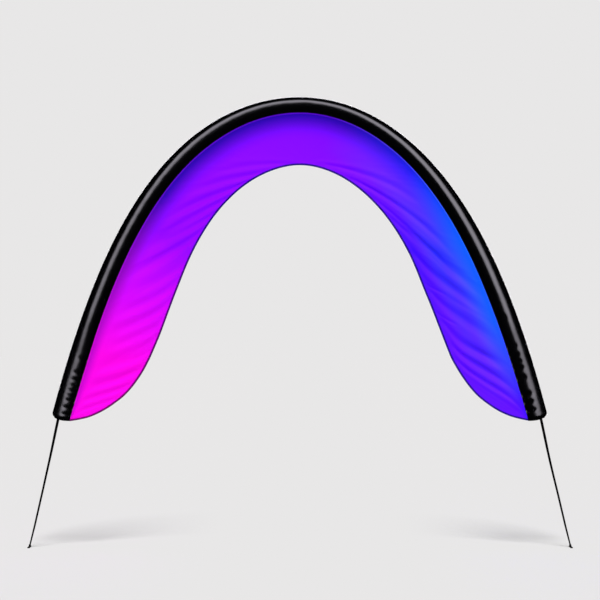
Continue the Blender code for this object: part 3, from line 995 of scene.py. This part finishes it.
def new_finish(name, colour, roughness, specular):
    """A material with its own colour, roughness and gloss, its node tree and its shader."""
    material = bpy.data.materials.new(name)
    material.use_nodes = True
    shader = material.node_tree.nodes["Principled BSDF"]
    shader.inputs["Base Color"].default_value = linear(colour)
    shader.inputs["Roughness"].default_value = roughness
    shader.inputs["Specular IOR Level"].default_value = specular
    return material, material.node_tree, shader


def printed_polyester():
    # Knitted polyester flag cloth, dyed through by heat: even, soft and hardly glossy
    material, tree, shader = new_finish(
        "dyed polyester flag cloth", "#8205F8", roughness=0.5, specular=0.03
    )
    flat = add_node(tree, "ShaderNodeUVMap", {"uv_map": "cloth"}).outputs["UV"]
    station = add_node(tree, "ShaderNodeSeparateXYZ", inputs={"Vector": flat}).outputs["X"]
    share, from_seam, to_edge = (
        add_node(tree, "ShaderNodeAttribute", {"attribute_name": label}).outputs["Fac"]
        for label in ("share", "from_seam", "to_edge")
    )
    along = add_node(
        tree,
        "ShaderNodeMapRange",
        inputs={"Value": station, "From Min": SLEEVE_START, "From Max": SLEEVE_STOP},
    ).outputs["Result"]
    seam, strip, body, hem, line = (
        add_node(tree, "ShaderNodeValToRGB", inputs={"Fac": along}, stops=ink_stops(inks))
        for inks in (SEAM_INKS_AND_SHADE, STRIP_PRINT, BODY_PRINT, HEM_PRINT, HEM_LINE_SHADE)
    )
    # how far the seam's inks and their painted shade reach into the cloth
    fade = add_node(
        tree,
        "ShaderNodeMapRange",
        inputs={
            "Value": station,
            "From Min": SEAM_FADE_LEG_TO,
            "From Max": SEAM_FADE_FROM,
            "To Min": SEAM_FADE_LEG,
            "To Max": SEAM_FADE,
        },
    ).outputs["Result"]
    # the strip beside the seam is sewn double, and over it the colour is mixed towards the strip's
    # lighter inks
    to_body, to_hem, on_strip, on_hem_line_shade = (
        add_node(
            tree,
            "ShaderNodeMapRange",
            {"interpolation_type": how},
            {"Value": at, "From Min": start, "From Max": stop, "To Min": first, "To Max": last},
        ).outputs["Result"]
        for how, at, start, stop, first, last in (
            ("SMOOTHSTEP", share, 0.0, fade, 0.0, 1.0),
            ("SMOOTHSTEP", share, HEM_INK_FROM, HEM_INK_FULL, 0.0, 1.0),
            ("LINEAR", from_seam, STRIP_INK_TO, SEAM_STRIP, STRIP_INK_SHARE, 0.0),
            ("LINEAR", to_edge, HEM_WIDTH, HEM_WIDTH + HEM_LINE_FADE, 1.0, 0.0),
        )
    )
    # the colour starts from the seam's inks, which are partly painted shade under the sleeve
    colour = seam.outputs["Color"]
    for taken, inks in ((to_body, body), (to_hem, hem), (on_strip, strip), (on_hem_line_shade, line)):
        colour = add_node(
            tree,
            "ShaderNodeMix",
            {"data_type": "RGBA"},
            {0: taken, 6: colour, 7: inks.outputs["Color"]},
        ).outputs[2]
    tree.links.new(colour, shader.inputs["Base Color"])
    # the knit's loops are 0.35 mm apart, too fine to show, so they are drawn KNIT_PITCH apart
    waves = [
        add_node(
            tree,
            "ShaderNodeTexWave",
            {"wave_type": "BANDS", "bands_direction": direction, "wave_profile": "SIN"},
            {"Vector": flat, "Scale": WAVE_PERIOD / KNIT_PITCH, "Distortion": 0.6},
        ).outputs["Fac"]
        for direction in ("X", "Y")
    ]
    knit = add_node(tree, "ShaderNodeMath", {"operation": "MULTIPLY"}, {0: waves[0], 1: waves[1]})
    raised = add_node(
        tree,
        "ShaderNodeBump",
        inputs={"Height": knit.outputs[0], "Strength": 0.25, "Distance": 0.1 * MM},
    )
    tree.links.new(raised.outputs["Normal"], shader.inputs["Normal"])
    return material


def black_satin():
    # Woven stretch polyester with a satin face: deep black with one soft, broad highlight
    material, tree, shader = new_finish(
        "black satin polyester", "#020203", roughness=0.17, specular=0.25
    )
    flat = add_node(tree, "ShaderNodeUVMap", {"uv_map": "cloth"}).outputs["UV"]
    # its twill lines are 0.4 mm apart, too fine to show, so they are drawn TWILL_PITCH apart
    twill = add_node(
        tree,
        "ShaderNodeTexWave",
        {"wave_type": "BANDS", "bands_direction": "DIAGONAL", "wave_profile": "SIN"},
        {"Vector": flat, "Scale": WAVE_PERIOD / TWILL_PITCH, "Distortion": 0.4},
    ).outputs["Fac"]
    creased = add_node(
        tree,
        "ShaderNodeTexNoise",
        inputs={"Vector": flat, "Scale": 1 / CRUMPLE, "Detail": 3.0, "Roughness": 0.5},
    ).outputs["Fac"]
    soft = add_node(
        tree,
        "ShaderNodeBump",
        inputs={"Height": creased, "Strength": 0.1, "Distance": 1.5 * MM},
    ).outputs["Normal"]
    raised = add_node(
        tree,
        "ShaderNodeBump",
        inputs={"Height": twill, "Strength": 0.1, "Distance": 0.1 * MM, "Normal": soft},
    ).outputs["Normal"]
    tree.links.new(raised, shader.inputs["Normal"])
    sheen = add_node(
        tree,
        "ShaderNodeMapRange",
        inputs={"Value": creased, "To Min": 0.14, "To Max": 0.2},
    ).outputs["Result"]
    tree.links.new(sheen, shader.inputs["Roughness"])
    return material


def glass_fibre():
    # Pultruded glass fibre in dark resin, ground round: satin, with faint marks along it
    material, tree, shader = new_finish(
        "dark pultruded glass fibre", "#060607", roughness=0.5, specular=0.1
    )
    spot = add_node(tree, "ShaderNodeTexCoord").outputs["Object"]
    marks = add_node(
        tree,
        "ShaderNodeTexNoise",
        inputs={"Vector": spot, "Scale": 1 / FIBRE_GRAIN, "Detail": 4.0, "Roughness": 0.6},
    ).outputs["Fac"]
    gloss = add_node(
        tree, "ShaderNodeMapRange", inputs={"Value": marks, "To Min": 0.42, "To Max": 0.58}
    ).outputs["Result"]
    tree.links.new(gloss, shader.inputs["Roughness"])
    colour = add_node(
        tree,
        "ShaderNodeValToRGB",
        inputs={"Fac": marks},
        stops=((0.3, linear("#030303")), (0.8, linear("#080809"))),
    ).outputs["Color"]
    tree.links.new(colour, shader.inputs["Base Color"])
    return material


def black_rubber():
    # Moulded black rubber: matt, faintly grained by its mould and dusty at the floor
    black, dusty = "#0D0D0D", "#262422"
    material, tree, shader = new_finish(
        "moulded black rubber", black, roughness=0.75, specular=0.35
    )
    spot = add_node(tree, "ShaderNodeTexCoord").outputs["Object"]
    height = add_node(tree, "ShaderNodeSeparateXYZ", inputs={"Vector": spot}).outputs["Z"]
    grain = add_node(
        tree,
        "ShaderNodeTexNoise",
        inputs={"Vector": spot, "Scale": 1 / RUBBER_GRAIN, "Detail": 3.0, "Roughness": 0.6},
    ).outputs["Fac"]
    raised = add_node(
        tree,
        "ShaderNodeBump",
        inputs={"Height": grain, "Strength": 0.4, "Distance": 0.15 * MM},
    ).outputs["Normal"]
    tree.links.new(raised, shader.inputs["Normal"])
    dust = add_node(
        tree,
        "ShaderNodeMapRange",
        inputs={"Value": height, "From Max": FOOT_BASE, "To Min": 0.5, "To Max": 0.0},
    ).outputs["Result"]
    colour = add_node(
        tree,
        "ShaderNodeMix",
        {"data_type": "RGBA"},
        {0: dust, 6: linear(black), 7: linear(dusty)},
    ).outputs[2]
    tree.links.new(colour, shader.inputs["Base Color"])
    return material


def sewing_thread(name, colour):
    # Bonded polyester thread: twisted, a little glossier than the cloth it lies on
    material, tree, shader = new_finish(name, colour, roughness=0.5, specular=0.4)
    spot = add_node(tree, "ShaderNodeTexCoord").outputs["Object"]
    twist = add_node(
        tree,
        "ShaderNodeTexWave",
        {"wave_type": "BANDS", "bands_direction": "DIAGONAL"},
        {"Vector": spot, "Scale": WAVE_PERIOD / THREAD_TWIST},
    ).outputs["Fac"]
    raised = add_node(
        tree,
        "ShaderNodeBump",
        inputs={"Height": twist, "Strength": 0.4, "Distance": 0.1 * MM},
    ).outputs["Normal"]
    tree.links.new(raised, shader.inputs["Normal"])
    return material


# --- Studio ---------------------------------------------------------------------------------------


def make_floor():
    """A wide matt floor with painted light: it glows pale between the legs, which washes their
    shadow out there.
    """
    material, tree, shader = new_finish(
        "pale floor with painted glow", FLOOR_COLOUR, roughness=1.0, specular=0.0
    )
    spot = add_node(tree, "ShaderNodeTexCoord").outputs["Object"]
    x = add_node(tree, "ShaderNodeSeparateXYZ", inputs={"Vector": spot}).outputs["X"]
    off = add_node(tree, "ShaderNodeMath", {"operation": "SUBTRACT"}, {0: x, 1: GLOW_X})
    aside = add_node(tree, "ShaderNodeMath", {"operation": "ABSOLUTE"}, {0: off.outputs[0]})
    painted_glow = add_node(
        tree,
        "ShaderNodeMapRange",
        {"interpolation_type": "SMOOTHSTEP"},
        {
            "Value": aside.outputs[0],
            "From Min": GLOW_FULL,
            "From Max": GLOW_STOP,
            "To Min": 1.0,
            "To Max": 0.0,
        },
    ).outputs["Result"]
    # painted light: the floor glows pale between the legs
    painted_light = add_node(tree, "ShaderNodeEmission", inputs={"Color": linear(PALE)}).outputs["Emission"]
    mixed = add_node(tree, "ShaderNodeMixShader", inputs={0: painted_glow, 1: shader.outputs[0], 2: painted_light})
    tree.links.new(mixed.outputs[0], tree.nodes["Material Output"].inputs["Surface"])
    mesh = bpy.data.meshes.new("floor")
    near, far = -FLOOR_HALF, FLOOR_HALF
    corners = [(near, near, 0), (far, near, 0), (far, far, 0), (near, far, 0)]
    mesh.from_pydata(corners, [], [(0, 1, 2, 3)])
    mesh.materials.append(material)
    floor = bpy.data.objects.new("floor", mesh)
    bpy.context.scene.collection.objects.link(floor)
    floor.visible_glossy = False


def light_studio(satin, cloth, matt):
    """Soft suns, a low even light from all round, and a plain pale backdrop.

    The printed cloth is so thin that the key lamp shines through it: only the other pieces throw
    a shadow. Nothing mirrors the backdrop or the floor.
    """
    # the pieces that stop the key lamp's light, and those that each other kind of lamp lights
    pieces_of = {
        "key": satin + matt,
        "fill": satin + cloth + matt,
        "satin sheen": satin,
        "cloth sheen": cloth,
    }
    groups = {role: bpy.data.collections.new(role) for role in pieces_of}
    for role, group in groups.items():
        for piece in pieces_of[role]:
            group.objects.link(piece)
    for lamp in LAMPS:
        sheen = "sheen" in lamp.role
        light = bpy.data.lights.new(lamp.name, "SUN")
        light.energy = lamp.strength
        light.angle = radians(lamp.size_deg)
        light.color = LAMP_COLOURS.get(lamp.role, WHITE)
        light.use_shadow = lamp.role == "key"
        sun = bpy.data.objects.new(lamp.name, light)
        bpy.context.scene.collection.objects.link(sun)
        sun.visible_diffuse = not sheen
        sun.visible_glossy = sheen
        if lamp.role == "key":
            sun.light_linking.blocker_collection = groups["key"]
        else:
            sun.light_linking.receiver_collection = groups[lamp.role]
        up, turn = radians(lamp.elevation_deg), radians(lamp.turn_deg)
        towards = Vector((sin(turn) * cos(up), -cos(turn) * cos(up), sin(up)))
        sun.rotation_mode = "QUATERNION"
        sun.rotation_quaternion = towards.to_track_quat("Z", "Y")
    world = bpy.data.worlds.new("studio")
    bpy.context.scene.world = world
    world.use_nodes = True
    tree = world.node_tree
    ray = add_node(tree, "ShaderNodeLightPath").outputs
    unmirrored = add_node(
        tree, "ShaderNodeMath", {"operation": "SUBTRACT"}, {0: 1.0, 1: ray["Is Glossy Ray"]}
    )
    even, backdrop = (
        add_node(tree, "ShaderNodeBackground", inputs={"Color": colour}).outputs["Background"]
        for colour in (AMBIENT_COLOUR, linear(PALE))
    )
    tree.links.new(unmirrored.outputs[0], even.node.inputs["Strength"])
    seen = add_node(
        tree, "ShaderNodeMixShader", inputs={0: ray["Is Camera Ray"], 1: even, 2: backdrop}
    )
    tree.links.new(seen.outputs[0], tree.nodes["World Output"].inputs["Surface"])
    world.cycles.sampling_method = "NONE"
    bpy.context.scene.view_settings.view_transform = "Standard"


def make_camera():
    """A long lens, level and square to the arch."""
    lens = bpy.data.cameras.new("camera")
    lens.sensor_width = SENSOR_MM
    lens.lens = SENSOR_MM * CAMERA_DISTANCE / SEEN_WIDTH
    lens.clip_end = 4 * FLOOR_HALF
    camera = bpy.data.objects.new("camera", lens)
    camera.location = CAMERA_X, -CAMERA_DISTANCE, CAMERA_HEIGHT
    camera.rotation_euler = pi / 2, 0, 0
    bpy.context.scene.collection.objects.link(camera)
    bpy.context.scene.camera = camera


def main():
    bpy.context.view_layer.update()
    make_camera()
    panel = make_panel(printed_polyester())
    sleeve = make_sleeve(black_satin())
    pole = make_pole(glass_fibre())
    rubber = black_rubber()
    feet = [
        make_foot("rubber_foot_" + word, side, rubber)
        for word, side in (("left", -1), ("right", 1))
    ]
    sewn = make_stitches(
        sewing_thread("dark violet thread", "#1A0838"), sewing_thread("black thread", "#101012")
    )
    for piece in (panel, sleeve, pole, *feet, *sewn):
        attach(piece, "root")
    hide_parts("panel")
    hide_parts("sleeve")
    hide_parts("pole")
    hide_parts("foot_left")
    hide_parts("foot_right")
    slots = {panel: "printed_cloth", sleeve: "sleeve_cloth", pole: "pole", sewn[0]: "printed_cloth"}
    slots |= {sewn[1]: "sleeve_cloth", feet[0]: "feet", feet[1]: "feet"}
    make_floor()
    light_studio([sleeve], [panel], [pole, *feet, *sewn])


main()
